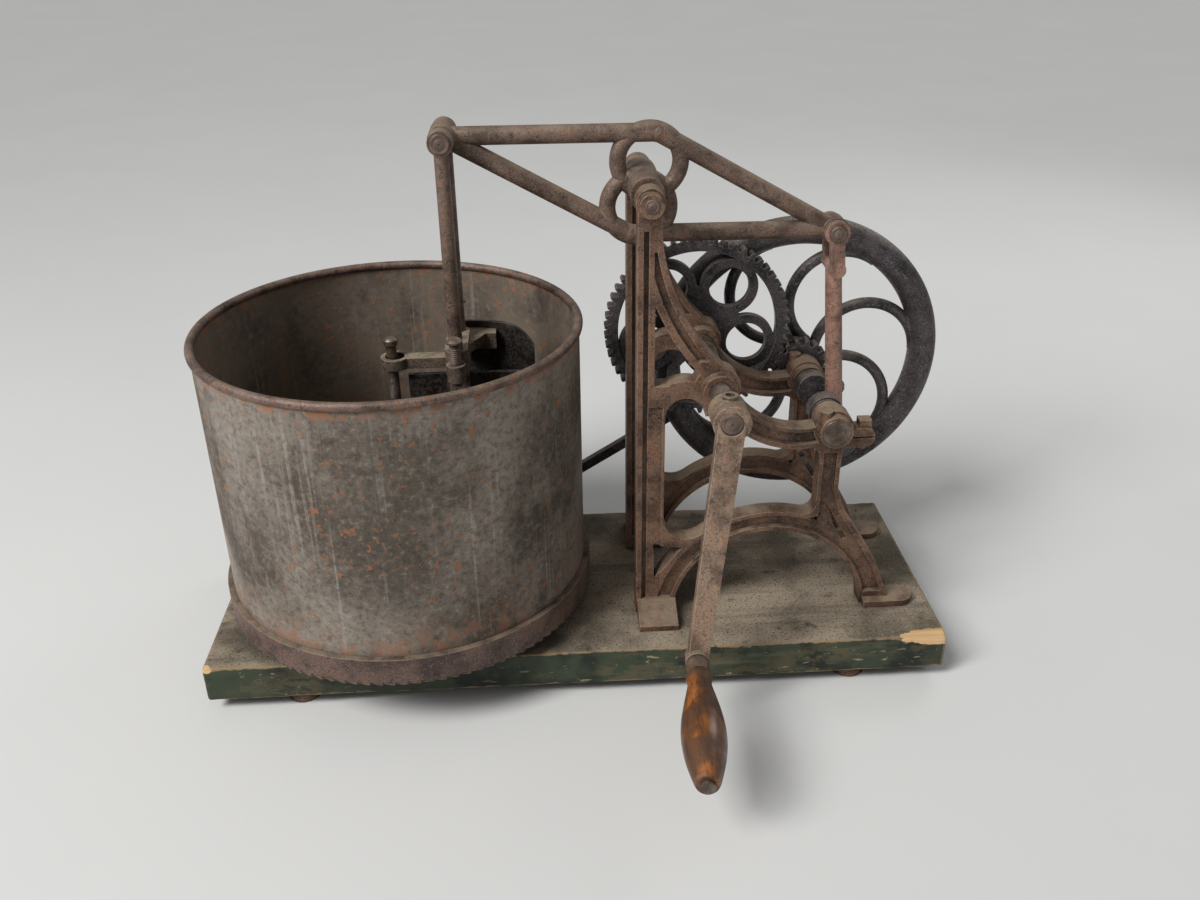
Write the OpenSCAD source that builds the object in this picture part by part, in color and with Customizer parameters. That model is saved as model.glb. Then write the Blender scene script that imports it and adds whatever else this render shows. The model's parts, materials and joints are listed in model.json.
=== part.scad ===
// Hand-cranked food chopper with a rocking beam, a turning drum and a flywheel.
// Sizes are in millimetres. X runs from the drum to the flywheel, Y from the crank side to the
// flywheel side, Z up. Layout positions are measured from the drum's axis and the board's top.

/* [Drum] */
// Outside diameter of the sheet wall
drum_d = 305; // [290:1:315]
// Height of the rolled rim above the board
drum_h = 250; // [244:1:262]
// Thickness of the sheet wall
wall_t = 1.2; // [0.8:0.1:2]
// Radius of the rolled rim's bead
rim_r = 3.6; // [2.5:0.1:4.5]
// Height of the ratchet ring's band
ring_h = 24; // [18:1:30]
// Thickness of the ratchet ring's band
ring_t = 5; // [3:0.5:6]
// Number of ratchet teeth
ring_teeth = 100; // [60:2:110]
// Depth of a ratchet tooth
tooth_h = 2; // [1.5:0.5:4]
// Height of the ratchet teeth, cut into the ring's foot
tooth_w = 3; // [2:0.5:5]
// Thickness of the wooden chopping floor
floor_t = 24; // [16:1:28]
// Radius of the fixed centre post
post_r = 4.3; // [3.5:0.1:5]

/* [Board] */
// Length of the board left of the drum's axis
board_left = 164; // [150:1:180]
// Length of the board right of the drum's axis
board_right = 452; // [445:1:470]
// Depth of the board from front to back
board_d = 220; // [205:1:222]
// Thickness of the board
board_t = 32; // [26:1:38]
// Height of the iron feet
foot_h = 12; // [10:1:18]
// Radius of the iron feet
foot_r = 14; // [10:1:18]

/* [Frames] */
// Distance between the two frames' middle planes
frame_gap = 100; // [96:1:106]
// Thickness of a frame across its flanges
frame_t = 16; // [13:1:18]
// Depth of the webs sunk into each face
web_sink = 4; // [2:0.5:5]
// Length of each shaft boss
boss_l = 32; // [28:1:33]
// Beam pivot's distance from the drum's axis
pivot_x = 204; // [200:1:208]
// Beam pivot's height above the board
pivot_z = 358; // [350:1:362]

/* [Gearing] */
// Size of the gear teeth: pitch diameter over number of teeth
gear_module = 2.85; // [2.8:0.01:2.9]
// Number of teeth on the crank's gear
gear_n = 56; // [55:1:57]
// Number of teeth on the pinion
pinion_n = 16; // [15:1:17]
// Face width of the gear
gear_w = 12; // [8:1:14]
// Radius of the two shafts
shaft_r = 8.7; // [7.5:0.1:9.2]
// Radius of the throw that works the beam
throw_r = 34; // [30:1:35]
// Where the throw stands, in degrees from straight down
throw_a = 28; // [20:1:35]

/* [Flywheel] */
// Outside radius of the flywheel
fly_r = 131; // [122:1:136]
// Radius of the flywheel's round rim section
fly_rim_r = 12.5; // [10:0.5:13]
// Number of half-round spokes
fly_spokes = 7; // [6:1:8]
// Radius of a spoke's section
spoke_r = 5; // [4:0.5:6]

/* [Beam and knife] */
// Distance from the beam's pivot to each end pin
beam_arm = 155; // [152:1:158]
// Tilt of the beam with the knife raised, in degrees
beam_tilt = 14.6; // [13:0.2:16]
// Radius of the beam's bars
bar_r = 7; // [5.5:0.5:7.5]
// Radius of the two lifting rods
rod_r = 5.5; // [4.5:0.5:6]
// Height of the crosshead's underside above the board
cross_z = 214; // [210:1:218]
// Height of the knife's cutting edge above the board
edge_z = 114; // [112:1:125]
// Thickness of the knife
knife_t = 4; // [3:0.5:5]

/* [Crank] */
// Distance from the crank's shaft to its grip
crank_l = 188; // [175:1:192]
// Lean of the crank arm from straight down, in degrees
crank_lean = 7.6; // [4:0.2:10]
// How far the arm leans out, so that the grip passes in front of the drum
crank_out = 37; // [34:1:45]
// Skew of the grip's spindle towards the drum, in degrees
grip_skew = 4.8; // [0:0.2:6]
// Length of the wooden grip
grip_l = 115; // [100:1:125]
// Largest radius of the wooden grip
grip_r = 16.5; // [13:0.5:18]

/* [Feed] */
// Throw of the crank that works the feed rod
feed_r = 16; // [12:1:18]
// Height of the feed rod
feed_h = 9; // [7:0.5:10]

/* [Hidden] */
$fn = 72;
run = 0.05;
gap = 0.4;
// Shaft and pin positions as [x, z]
pivot = [pivot_x, pivot_z];
main = [259, 211];
centre = gear_module * (gear_n + pinion_n) / 2;
mesh_a = -22.5;
pinion = main + centre * [cos(mesh_a), sin(mesh_a)];
knife_pin = pivot + beam_arm * [-cos(beam_tilt), sin(beam_tilt)];
pitman_pin = pivot + beam_arm * [cos(beam_tilt), -sin(beam_tilt)];
throw_pin = pinion + throw_r * [sin(throw_a), -cos(throw_a)];
grip_pin = main + crank_l * [-sin(crank_lean), -cos(crank_lean)];
pin_r = 5;
throw_pin_r = 8;
feed_pin_r = 4.5;
knife_bolt_r = 4;
guide_screw_r = 2;
// Depths along Y
frame_y = frame_gap / 2;
boss_y = frame_y + boss_l / 2;
knife_end = 14;
pitman_end = 8;
big_end = 16;
web_t = 12;
web_y = big_end + 0.3;
gear_y0 = boss_y + 0.5;
gear_y1 = gear_y0 + gear_w;
fly_y = gear_y1 + 3.5 + fly_rim_r;
fly_hub = fly_rim_r + 0.5;
board_y = board_d / 2;
feed_disc_y = fly_y + fly_hub;
feed_y = max(feed_disc_y + 6, board_y + 3.5) + gap;
feed_disc_t = feed_y - gap - feed_disc_y;
feed_w = 7;
crank_t = 8;
crank_y = -118;
crank_y0 = crank_y - crank_t / 2;
crank_hub_y = crank_y0 + 26;
crank_hub_r = 14.5;
spindle_boss = 6;
spindle_y = crank_y - crank_out;
ferrule_l = 13;
grip_start = spindle_boss + 0.6;
grip_end = grip_start + ferrule_l + grip_l;
spindle_l = grip_end + 3;
spindle_head = 5.6;
// Drum
drum_r = drum_d / 2;
ring_r = drum_r + ring_t;
ring_z = 14;
plate_t = 5;
post_top = drum_h - 12;
// Feed rod: its nose meets the ring behind the drum, and it points at the flywheel's shaft
nose = [sqrt(ring_r * ring_r - (feed_y + feed_w) * (feed_y + feed_w)), ring_z + tooth_w / 2];
feed_a = atan2(pinion[1] - nose[1], pinion[0] - nose[0]);
feed_pin = pinion - feed_r * [cos(feed_a), sin(feed_a)];
feed_l = norm(feed_pin - nose);
guide_x = sqrt(ring_r * ring_r - board_y * board_y) + 5;
guide_w = 18;
// Whole object's box, for the origin under its middle
x_lo = -max(board_left, ring_r);
x_hi = max(board_right, pinion[0] + fly_r);
y_lo = spindle_y - spindle_l * cos(grip_skew) - spindle_head * sin(grip_skew);
y_hi = ring_r;
lift = board_t + foot_h;

// Moves a piece from the layout to the row's frame
module put() {
    translate([-(x_lo + x_hi) / 2, -(y_lo + y_hi) / 2, lift]) children();
}

// Round bar along Y at an [x, z] point
module along_y(p, y0, y1, r) {
    translate([p[0], y0, p[1]]) rotate([-90, 0, 0]) cylinder(r = r, h = y1 - y0);
}

// Plate with an [x, z] outline between two depths
module slab(y0, y1) {
    translate([0, y1, 0]) rotate([90, 0, 0]) linear_extrude(height = y1 - y0) children();
}

// Round bar between two [x, z] points in the middle plane
module bar(a, b, r) {
    d = b - a;
    translate([a[0], 0, a[1]]) rotate([0, 90 - atan2(d[1], d[0]), 0]) cylinder(r = r, h = norm(d));
}

// Flat ring in the plane of an outline
module ring2d(p, r0, r1) {
    translate(p) difference() {
        circle(r = r1);
        circle(r = r0);
    }
}

// Rectangle between two corners
module box2d(a, b) {
    translate(a) square(b - a);
}

// Board and feet

foot_at = [for (x = [-board_left + 75, board_right - 77]) for (y = [-board_y + 20, board_y - 20]) [x, y]];

module base_board() put() color("darkolivegreen") {
    difference() {
        translate([-board_left, -board_y, -board_t]) cube([board_left + board_right, board_d, board_t]);
        translate([0, 0, -board_t - 1]) cylinder(r = post_r, h = board_t + 2);
        for (b = bolt_at) {
            translate([b[0], b[1], -board_t - 1]) cylinder(r = bolt_r, h = board_t + 2);
            translate([b[0], b[1], -board_t - 1]) cylinder(r = bolt_head_r, h = 1 + bolt_head_h);
        }
        for (x = screw_x) {
            translate([x, board_y - 12, -board_t / 2]) rotate([-90, 0, 0]) cylinder(r = guide_screw_r, h = 13);
        }
    }
}

module board_feet() put() color("saddlebrown") {
    for (p = foot_at) {
        translate([p[0], p[1], -lift]) cylinder(r1 = foot_r, r2 = foot_r - 2, h = foot_h);
    }
}

// Pad that carries the drum, with the fixed post through it
module thrust_pad() put() color("dimgray") {
    difference() {
        cylinder(r = 34, h = ring_z - 0.3);
        translate([0, 0, -1]) cylinder(r = post_r, h = ring_z + 2);
    }
}

module centre_post() put() color("dimgray") {
    translate([0, 0, -board_t + 2]) cylinder(r = post_r, h = board_t - 2 + post_top);
    translate([0, 0, post_top - 5]) cylinder(r = post_r + 1.2, h = 3);
    translate([0, 0, post_top - 2]) intersection() {
        cylinder(r = post_r + 1.2, h = 4);
        translate([0, 0, -3]) sphere(r = 7);
    }
}

// Frames

arch = [308, -4];
arch_r0 = 82;
arch_r1 = 100;
arm_mid = [327, 233];
arm_r0 = 60.5;
arm_r1 = 78.5;
brace_r = 173;
brace_mid = [pivot_x + brace_r + 8, pivot_z - 8];
post_x0 = pivot_x - 9.5;
post_x1 = pivot_x + 13;
nook = [233, 187];
bolt_r = 4;
bolt_head_r = 8;
bolt_head_h = 6;
foot_out = 28;
leg_end = 415;
leg_x = leg_end + 10;
ear = pinion + [26.2, -10.2];
ear_r = 8.5;
ear_bolt_r = 3;
// Bolts of a foot, as [x, how far out from the frame's middle plane]
foot_bolts = [[post_x0 + 17, 19], [leg_x, 3]];
bolt_at = [for (s = [-1, 1]) for (b = foot_bolts) [b[0], s * (frame_y + b[1])]];

// Round corners of the large window: the middles of their arcs
window_x = 344;
fillet = 9;
fillet_x = window_x - fillet;
low_z = arch[1] + sqrt(pow(arch_r1 + fillet, 2) - pow(fillet_x - arch[0], 2));
high_z = arm_mid[1] - sqrt(pow(arm_r1 + fillet, 2) - pow(fillet_x - arm_mid[0], 2));
corners = [[fillet_x - 2, low_z - 18, low_z], [fillet_x, high_z, high_z + 14]];
bend = 20;
bend_x = post_x1 + bend;
bend_z = arch[1] + sqrt(pow(arch_r1 + bend, 2) - pow(bend_x - arch[0], 2));

// Outline of a frame without its openings
module frame_solid() {
    difference() {
        box2d([post_x0, 200], [262, pivot_z - 4]);
        translate(brace_mid) circle(r = brace_r, $fn = 180);
    }
    box2d([post_x0, 0], [post_x1, 205]);
    translate(pivot) circle(r = 11);
    intersection() {
        translate(nook) circle(r = 31);
        box2d([post_x0, nook[1]], [262, 230]);
    }
    translate(main) circle(r = 17);
    intersection() {
        ring2d(arm_mid, arm_r0, arm_r1);
        polygon([main, main + [0, -60], [330, 140], [pinion[0], 140], pinion, arm_mid]);
    }
    translate(pinion) circle(r = 15.5);
    for (c = corners) box2d([c[0], c[1]], [window_x + 1, c[2]]);
    polygon([[window_x, 172], [window_x + 19, 172], [window_x + 17.5, 136], [window_x + 17.5, 116],
        [window_x + 23.5, 96], [leg_end - 31, 70.5], [leg_end - 14, 42], [leg_end, 5], [leg_end, 0],
        [leg_end - 27, 0], [leg_end - 55, 40], [window_x, 62]]);
    intersection() {
        translate(arch) circle(r = arch_r1, $fn = 120);
        box2d([post_x0, 0], [leg_end - 5, 120]);
    }
    box2d([post_x0, 0], [250, 76]);
    difference() {
        box2d([post_x0, 60], [bend_x + 0.6 * bend, bend_z]);
        translate([bend_x, bend_z]) circle(r = bend);
    }
}

// Openings through a frame
module frame_windows() {
    translate(arch) circle(r = arch_r0, $fn = 120);
    // slender gap between the post and the curved brace
    difference() {
        box2d([post_x0 + 13.5, 214], [246, 281]);
        translate(brace_mid) circle(r = brace_r + 17, $fn = 180);
        translate(nook) circle(r = 31);
        translate(main) circle(r = 20);
    }
    // large window over the arch, with round corners
    difference() {
        union() {
            box2d([post_x1, bend_z], [window_x, 187]);
            box2d([bend_x + 0.6 * bend, 70], [window_x, 100]);
            translate(nook) circle(r = nook[0] - post_x1);
            translate([bend_x, bend_z]) circle(r = bend);
        }
        translate(arch) circle(r = arch_r1, $fn = 120);
        translate(arm_mid) circle(r = arm_r1, $fn = 120);
        translate(main) circle(r = 17);
        translate(pinion) circle(r = 15.5);
        difference() {
            for (c = corners) box2d([c[0], c[1]], [window_x + 1, c[2]]);
            for (z = [low_z, high_z]) translate([fillet_x, z]) circle(r = fillet);
        }
    }
    // spandrels on both sides of the arch
    polygon([[post_x0 + 15.5, 34], [post_x0 + 14.5, 68], [post_x1 + 16, 64.5]]);
    polygon([[window_x - 5, 88.5], [window_x + 6.5, 91], [window_x + 2.5, 84]]);
    polygon([[window_x + 6, 98], [window_x + 11, 98.5], [leg_end - 40.5, 65], [leg_end - 45, 64]]);
}

// Webs sunk between the raised edges
module frame_webs() {
    // narrow groove up the post
    box2d([post_x0 + 4.5, 14], [post_x0 + 8.5, pivot_z - 20]);
    // curved brace
    intersection() {
        ring2d(brace_mid, brace_r + 5, brace_r + 11, $fn = 180);
        box2d([post_x0 + 12.5, 234], [260, pivot_z - 36]);
    }
    // arch and leg
    difference() {
        union() {
            intersection() {
                translate(arch) circle(r = arch_r1 - 3.5, $fn = 120);
                box2d([post_x0 + 12, 12], [leg_end - 20, 120]);
            }
            polygon([[window_x + 3, 150], [window_x + 14, 150], [window_x + 13.8, 116], [window_x + 20, 94],
                [leg_end - 35, 68.5], [leg_end - 18, 40], [leg_end - 7, 12], [leg_end - 35, 12],
                [window_x + 3, 60]]);
        }
        translate(arch) circle(r = arch_r0 + 4, $fn = 120);
    }
    // rail between the two bearings
    difference() {
        intersection() {
            ring2d(arm_mid, arm_r0 + 3, arm_r1 - 4, $fn = 120);
            polygon([main, main + [0, -60], [330, 140], [window_x, 140], [window_x, 180], arm_mid]);
        }
        translate(main) circle(r = 18.5);
        translate(pinion) circle(r = 17);
    }
}

// Cuts a shape into both faces of a frame
module sink(depth) {
    slab(-frame_t / 2 - 1, -frame_t / 2 + depth) children();
    slab(frame_t / 2 - depth, frame_t / 2 + 1) children();
}

// One frame about its own middle plane, with its front towards -Y
module frame_casting() {
    difference() {
        union() {
            difference() {
                slab(-frame_t / 2, frame_t / 2) difference() {
                    frame_solid();
                    frame_windows();
                }
                sink(web_sink) frame_webs();
                sink(web_sink / 2) box2d([post_x0 + 8, 14], [post_x1 - 2, 196]);
            }
            along_y(pivot, -boss_l / 2, boss_l / 2, 9);
            along_y(main, -boss_l / 2, boss_l / 2, 13.5);
            along_y(pinion, -boss_l / 2, boss_l / 2, 13.5);
            // feet: a sloping block in front of the post and a pad at the end of the leg
            translate([post_x0 + 1, 0, 0]) rotate([90, 0, 90]) linear_extrude(height = 33)
                polygon([[frame_t / 2, 0], [-frame_t / 2 - foot_out, 0], [-frame_t / 2 - foot_out, 5],
                    [-frame_t / 2, 14], [frame_t / 2, 14]]);
            translate([leg_x - 33, -frame_t / 2 - 8, 0]) cube([33, frame_t + 8, 6]);
            translate([leg_x, -4, 0]) cylinder(r = frame_t / 2 + 4, h = 6);
            // ear that closes the split bearing on the flywheel's shaft, and the bearing's oil lug
            translate([ear[0] - 18, -6, ear[1] - ear_r]) cube([18, frame_t / 2 + 6, 2 * ear_r]);
            along_y(ear, -6, frame_t / 2, ear_r);
            translate([pinion[0] - 8, -boss_l / 2 + 7, pinion[1]]) cylinder(r = 5, h = 17);
        }
        along_y(pivot, -boss_l, boss_l, pin_r);
        along_y(main, -boss_l, boss_l, shaft_r + run);
        along_y(pinion, -boss_l, boss_l, shaft_r + run);
        translate([ear[0] - 10, -7, ear[1] - 0.5]) cube([20, frame_t + 8, 1.6]);
        translate([ear[0], 1, ear[1] - 12]) cylinder(r = ear_bolt_r, h = 24);
        for (b = foot_bolts) translate([b[0], -b[1], -1]) cylinder(r = bolt_r, h = 6);
    }
}

module front_frame() put() color("rosybrown") {
    translate([0, -frame_y, 0]) frame_casting();
}

module rear_frame() put() color("rosybrown") {
    mirror([0, 1, 0]) translate([0, -frame_y, 0]) frame_casting();
}

// Bolts from under the board into the frames' feet
module frame_bolts() put() color("dimgray") {
    for (b = bolt_at) {
        translate([b[0], b[1], -board_t]) {
            cylinder(r = bolt_head_r, h = bolt_head_h, $fn = 6);
            cylinder(r = bolt_r, h = board_t + 4.5);
        }
    }
}

// Square-headed bolts through the bearing ears
module clamp_bolts() put() color("dimgray") {
    for (s = [-1, 1]) {
        translate([ear[0], s * (frame_y - 1), ear[1]]) {
            translate([0, 0, -12]) cylinder(r = ear_bolt_r, h = 24);
            translate([-5, -5, ear_r]) cube([10, 10, 6]);
        }
    }
}

module pivot_shaft() put() color("dimgray") {
    along_y(pivot, -boss_y, boss_y, pin_r);
}

// Crank shaft and its gear

module main_shaft() put() color("dimgray") {
    along_y(main, crank_y0, gear_y1 + 2, shaft_r);
}

// Half the angle of a tooth at radius r, with the flank rolled off its base circle
function roll(a) = tan(a) * 180 / PI - a;
function half_tooth(n, r) = let (rp = gear_module * n / 2, rb = rp * cos(20),
    play = 0.12 * 180 / PI / rp) 90 / n - play + roll(20) - roll(acos(min(1, rb / max(r, rb))));

// Outline of a toothed wheel with one tooth on the X axis
module toothed(n) {
    rp = gear_module * n / 2;
    lo = rp - gear_module;
    hi = rp + 0.8 * gear_module;
    rb = rp * cos(20);
    foot = max(lo, rb);
    rs = concat(lo < rb ? [lo] : [], [for (i = [0:4]) foot + (hi - foot) * i / 4]);
    polygon([for (k = [0:n - 1]) for (i = [0:2 * len(rs) - 1])
        let (j = i < len(rs) ? i : 2 * len(rs) - 1 - i, s = i < len(rs) ? -1 : 1,
            a = k * 360 / n + s * half_tooth(n, rs[j])) rs[j] * [cos(a), sin(a)]]);
}

hole_ring = 46;
module drive_gear() put() color("dimgray") {
    root = gear_module * (gear_n / 2 - 1);
    difference() {
        union() {
            translate([main[0], 0, main[1]]) slab(gear_y0, gear_y1) difference() {
                rotate(mesh_a) toothed(gear_n);
                circle(r = root - 6);
            }
            translate([main[0], 0, main[1]]) slab(gear_y0 + 3, gear_y1 - 3) difference() {
                circle(r = root - 5);
                for (i = [0:4]) rotate(-18 + 72 * i) translate([hole_ring, 0]) circle(r = 17.5);
                difference() {
                    ring2d([0, 0], 38, root - 7);
                    for (i = [0:4]) rotate(-18 + 72 * i) translate([hole_ring, 0]) circle(r = 25.5);
                }
            }
            along_y(main, gear_y0, gear_y1 + 1, 16);
        }
        along_y(main, gear_y0 - 1, gear_y1 + 5, shaft_r);
    }
}

screw_y = crank_y + 12;
screw_r = 3.5;

// Moves a piece from the spindle's own frame to the arm's end, its grip along -Y
module on_spindle() {
    translate([grip_pin[0], spindle_y, grip_pin[1]]) rotate([0, 0, -grip_skew]) children();
}

module crank_arm() put() color("sienna") {
    arm = norm([crank_l, crank_out]);
    difference() {
        union() {
            along_y(main, crank_y0, crank_hub_y, crank_hub_r);
            translate([main[0], screw_y, main[1]]) cylinder(r = screw_r + 2.5, h = crank_hub_r + 2.5);
            translate([main[0], crank_y, main[1]]) rotate([0, crank_lean, 0])
                rotate([-atan2(crank_out, crank_l), 0, 0]) slab(-crank_t / 2, crank_t / 2)
                    polygon([[-10.5, 0], [10.5, 0], [8, -arm], [-8, -arm]]);
            on_spindle() along_y([0, 0], -spindle_boss, spindle_boss, 9.5);
        }
        along_y(main, crank_y0 - 10, crank_hub_y + 1, shaft_r);
        on_spindle() along_y([0, 0], -20, 20, pin_r);
        translate([main[0], screw_y, main[1]]) cylinder(r = screw_r, h = 20);
    }
}

// Slotted set screw, sunk in its collar
module crank_screw() put() color("dimgray") {
    translate([main[0], screw_y, main[1]]) difference() {
        translate([0, 0, shaft_r]) cylinder(r = screw_r, h = 6.5);
        translate([-0.6, -5, shaft_r + 5]) cube([1.2, 10, 3]);
    }
}

module grip_spindle() put() color("dimgray") {
    on_spindle() {
        along_y([0, 0], -spindle_l, spindle_boss, pin_r);
        along_y([0, 0], -spindle_l, -grip_end - gap, spindle_head);
    }
}

bead_l = 11;
neck_r = 8.8;

module grip_ferrule() put() color("saddlebrown") {
    on_spindle() difference() {
        translate([0, -grip_start, 0]) rotate([90, 0, 0]) {
            cylinder(r1 = neck_r - 0.4, r2 = neck_r + 0.4, h = 3);
            translate([0, 0, 3]) cylinder(r1 = neck_r + 0.4, r2 = neck_r - 0.2, h = ferrule_l - 3);
        }
        along_y([0, 0], -grip_end, 0, pin_r + run);
    }
}

// Turned wood: a bead, a hollow neck and a long swell that narrows to the end
function grip_at(l) = l < bead_l ? neck_r + 1.4 * sin(180 * l / bead_l)
    : neck_r + (grip_r - neck_r) * sin(180 * pow((l - bead_l) / (grip_l - bead_l), 1.15));
module wood_grip() put() color("peru") {
    last = grip_l - 2.5;
    on_spindle() difference() {
        translate([0, -grip_start - ferrule_l, 0]) rotate([90, 0, 0]) rotate_extrude()
            polygon(concat([[0, 0]], [for (i = [0:36]) [grip_at(i * last / 36), i * last / 36]],
                [[neck_r - 0.5, grip_l], [0, grip_l]]));
        along_y([0, 0], -grip_end - 1, 0, pin_r + run);
    }
}

// Flywheel shaft, split at its throw so the pitman can pass

module throw_web(y0) {
    slab(y0, y0 + web_t) {
        translate(pinion) circle(r = 14);
        translate(throw_pin) circle(r = 12);
        polygon([pinion + 12 * [cos(throw_a), sin(throw_a)], throw_pin + 10 * [cos(throw_a), sin(throw_a)],
            throw_pin - 10 * [cos(throw_a), sin(throw_a)], pinion - 12 * [cos(throw_a), sin(throw_a)]]);
    }
}

module rear_throw() put() color("dimgray") {
    throw_web(web_y);
    along_y(pinion, web_y + web_t - 1, boss_y - boss_l - gap, 12);
    along_y(pinion, web_y + web_t - 1, feed_disc_y + feed_disc_t, shaft_r);
}

module front_throw() put() color("dimgray") {
    throw_web(-web_y - web_t);
    along_y(pinion, -boss_y + boss_l + gap, -web_y - web_t + 1, shaft_r + 3.3);
    along_y(pinion, -boss_y, -web_y - web_t + 1, shaft_r);
}

module drive_pinion() put() color("dimgray") {
    difference() {
        union() {
            translate([pinion[0], 0, pinion[1]]) slab(gear_y0, gear_y1)
                rotate(mesh_a + 180 + 180 / pinion_n) toothed(pinion_n);
            along_y(pinion, gear_y1 - 1, fly_y - fly_hub, 15);
        }
        along_y(pinion, gear_y0 - 1, fly_y, shaft_r);
    }
}

module flywheel() put() color("dimgray") {
    mid = (fly_r - 2 * fly_rim_r + 4 + 17) / 2;
    arc = (fly_r - 2 * fly_rim_r + 4 - 17) / 2;
    difference() {
        union() {
            translate([pinion[0], fly_y, pinion[1]]) rotate([90, 0, 0]) {
                rotate_extrude($fn = 144) translate([fly_r - fly_rim_r, 0]) circle(r = fly_rim_r);
                for (i = [0:fly_spokes - 1]) {
                    rotate([0, 0, i * 360 / fly_spokes + 2]) translate([mid, 0, 0])
                        rotate_extrude(angle = 180) translate([arc, 0]) circle(r = spoke_r, $fn = 36);
                }
            }
            along_y(pinion, fly_y - fly_hub, fly_y + fly_hub, 20);
        }
        along_y(pinion, fly_y - 30, fly_y + 30, shaft_r);
    }
}

module feed_disc() put() color("dimgray") {
    difference() {
        slab(feed_disc_y, feed_disc_y + feed_disc_t) {
            translate(pinion) circle(r = 15);
            translate(feed_pin) circle(r = 9);
        }
        along_y(pinion, feed_disc_y - 1, feed_disc_y + feed_disc_t + 1, shaft_r);
    }
}

// Drum

module drum_wall() put() color("silver") {
    translate([0, 0, ring_z + plate_t]) difference() {
        cylinder(r = drum_r, h = drum_h - ring_z - plate_t, $fn = 180);
        translate([0, 0, -1]) cylinder(r = drum_r - wall_t, h = drum_h, $fn = 180);
    }
}

// Rolled bead that holds the rim's wire
module drum_rim() put() color("saddlebrown") {
    translate([0, 0, drum_h]) rotate_extrude($fn = 180) translate([drum_r - wall_t / 2, 0]) difference() {
        circle(r = rim_r);
        translate([-wall_t / 2, -rim_r - 1]) square([wall_t, rim_r + 1]);
    }
}

module ratchet_ring() put() color("rosybrown") {
    difference() {
        translate([0, 0, ring_z]) cylinder(r = ring_r, h = ring_h, $fn = 180);
        translate([0, 0, ring_z - 1]) linear_extrude(height = tooth_w + 1) difference() {
            circle(r = ring_r + 5, $fn = 180);
            polygon([for (i = [0:ring_teeth - 1]) for (j = [0, 1]) let (a = (i + 0.85 * j) * 360 / ring_teeth)
                (j == 0 ? ring_r - tooth_h : ring_r + 0.5) * [cos(a), sin(a)]]);
        }
        translate([0, 0, ring_z + plate_t]) cylinder(r = drum_r, h = ring_h, $fn = 180);
        translate([0, 0, ring_z - 1]) cylinder(r = post_r + run, h = plate_t + 2);
    }
}

module drum_floor() put() color("burlywood") {
    translate([0, 0, ring_z + plate_t]) difference() {
        cylinder(r = drum_r - wall_t, h = floor_t, $fn = 180);
        translate([0, 0, -1]) cylinder(r = post_r + 1, h = floor_t + 2);
    }
}

// Beam: two long bars and two slanting ones around a hub with an eye above and below it

corner = [10.4, 38.5];
eye_mid = [4, 17.4];
eye_r = 24;
module rocking_beam() put() color("rosybrown") {
    top = pivot + corner;
    low = pivot - corner;
    difference() {
        union() {
            bar(knife_pin, top, bar_r);
            bar(top, pitman_pin, bar_r);
            bar(knife_pin, low, bar_r);
            bar(low, pitman_pin, bar_r);
            for (p = [top, low]) translate([p[0], 0, p[1]]) sphere(r = bar_r + 0.6);
            for (s = [-1, 1]) {
                translate([pivot[0] + s * eye_mid[0], 0, pivot[1] + s * eye_mid[1]]) rotate([90, 0, 0])
                    rotate_extrude() translate([eye_r, 0]) circle(r = bar_r - 0.6);
            }
            along_y(pivot, -frame_y + boss_l / 2 + gap, frame_y - boss_l / 2 - gap, 13);
            along_y(knife_pin, -knife_end, knife_end, 10);
            along_y(pitman_pin, -pitman_end, pitman_end, 10.5);
        }
        along_y(pivot, -boss_y, boss_y, pin_r + run);
        along_y(knife_pin, -knife_end - 1, knife_end + 1, pin_r);
        along_y(pitman_pin, -pitman_end - 1, pitman_end + 1, pin_r);
    }
}

rod_y = 20;
eye_t = 11;
module knife_hinge_pin() put() color("dimgray") {
    end = knife_end + eye_t + 2 * gap;
    along_y(knife_pin, -end, end, pin_r);
    along_y(knife_pin, -end - 3, -end, 7.5);
    along_y(knife_pin, end, end + 3, 7.5);
}

prong_t = 7;
module pitman_hinge_pin() put() color("dimgray") {
    end = pitman_end + prong_t + 2 * gap;
    along_y(pitman_pin, -end, end, pin_r);
    along_y(pitman_pin, -end - 1.6, -end, 6.6);
    along_y(pitman_pin, end, end + 1.6, 6.6);
}

// Forked rod from the beam to the throw, drawn hanging straight down and leaned into place
yoke_z = -30;
module pitman() put() color("indianred") {
    d = throw_pin - pitman_pin;
    l = norm(d);
    in = pitman_end + gap;
    out = in + prong_t;
    translate([pitman_pin[0], 0, pitman_pin[1]]) rotate([0, -atan2(d[0], -d[1]), 0]) difference() {
        union() {
            for (y0 = [-out, in]) {
                along_y([0, 0], y0, y0 + prong_t, 9.6);
                translate([-5.5, y0, yoke_z]) cube([11, prong_t, -yoke_z]);
            }
            along_y([0, yoke_z], -out, out, 6.4);
            translate([0, 0, -l + 5]) cylinder(r1 = 7.4, r2 = 6.6, h = l - 5 + yoke_z);
            along_y([0, -l], -big_end, big_end, 14);
        }
        along_y([0, 0], -out - 1, out + 1, pin_r + run);
        along_y([0, -l], -big_end - 1, big_end + 1, throw_pin_r);
    }
}

module throw_pin_piece() put() color("dimgray") {
    along_y(throw_pin, -big_end, big_end, throw_pin_r);
}

// Knife and its hangers

module lift_rod(s) {
    inner = knife_end + gap;
    difference() {
        union() {
            along_y(knife_pin, s > 0 ? inner : -inner - eye_t, s > 0 ? inner + eye_t : -inner, 9.5);
            translate([knife_pin[0], s * rod_y, cross_z + 4])
                cylinder(r = rod_r, h = knife_pin[1] - cross_z - 8);
        }
        along_y(knife_pin, -40, 40, pin_r + run);
    }
}

module front_lift_rod() put() color("rosybrown") {
    lift_rod(-1);
}

module rear_lift_rod() put() color("rosybrown") {
    lift_rod(1);
}

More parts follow.
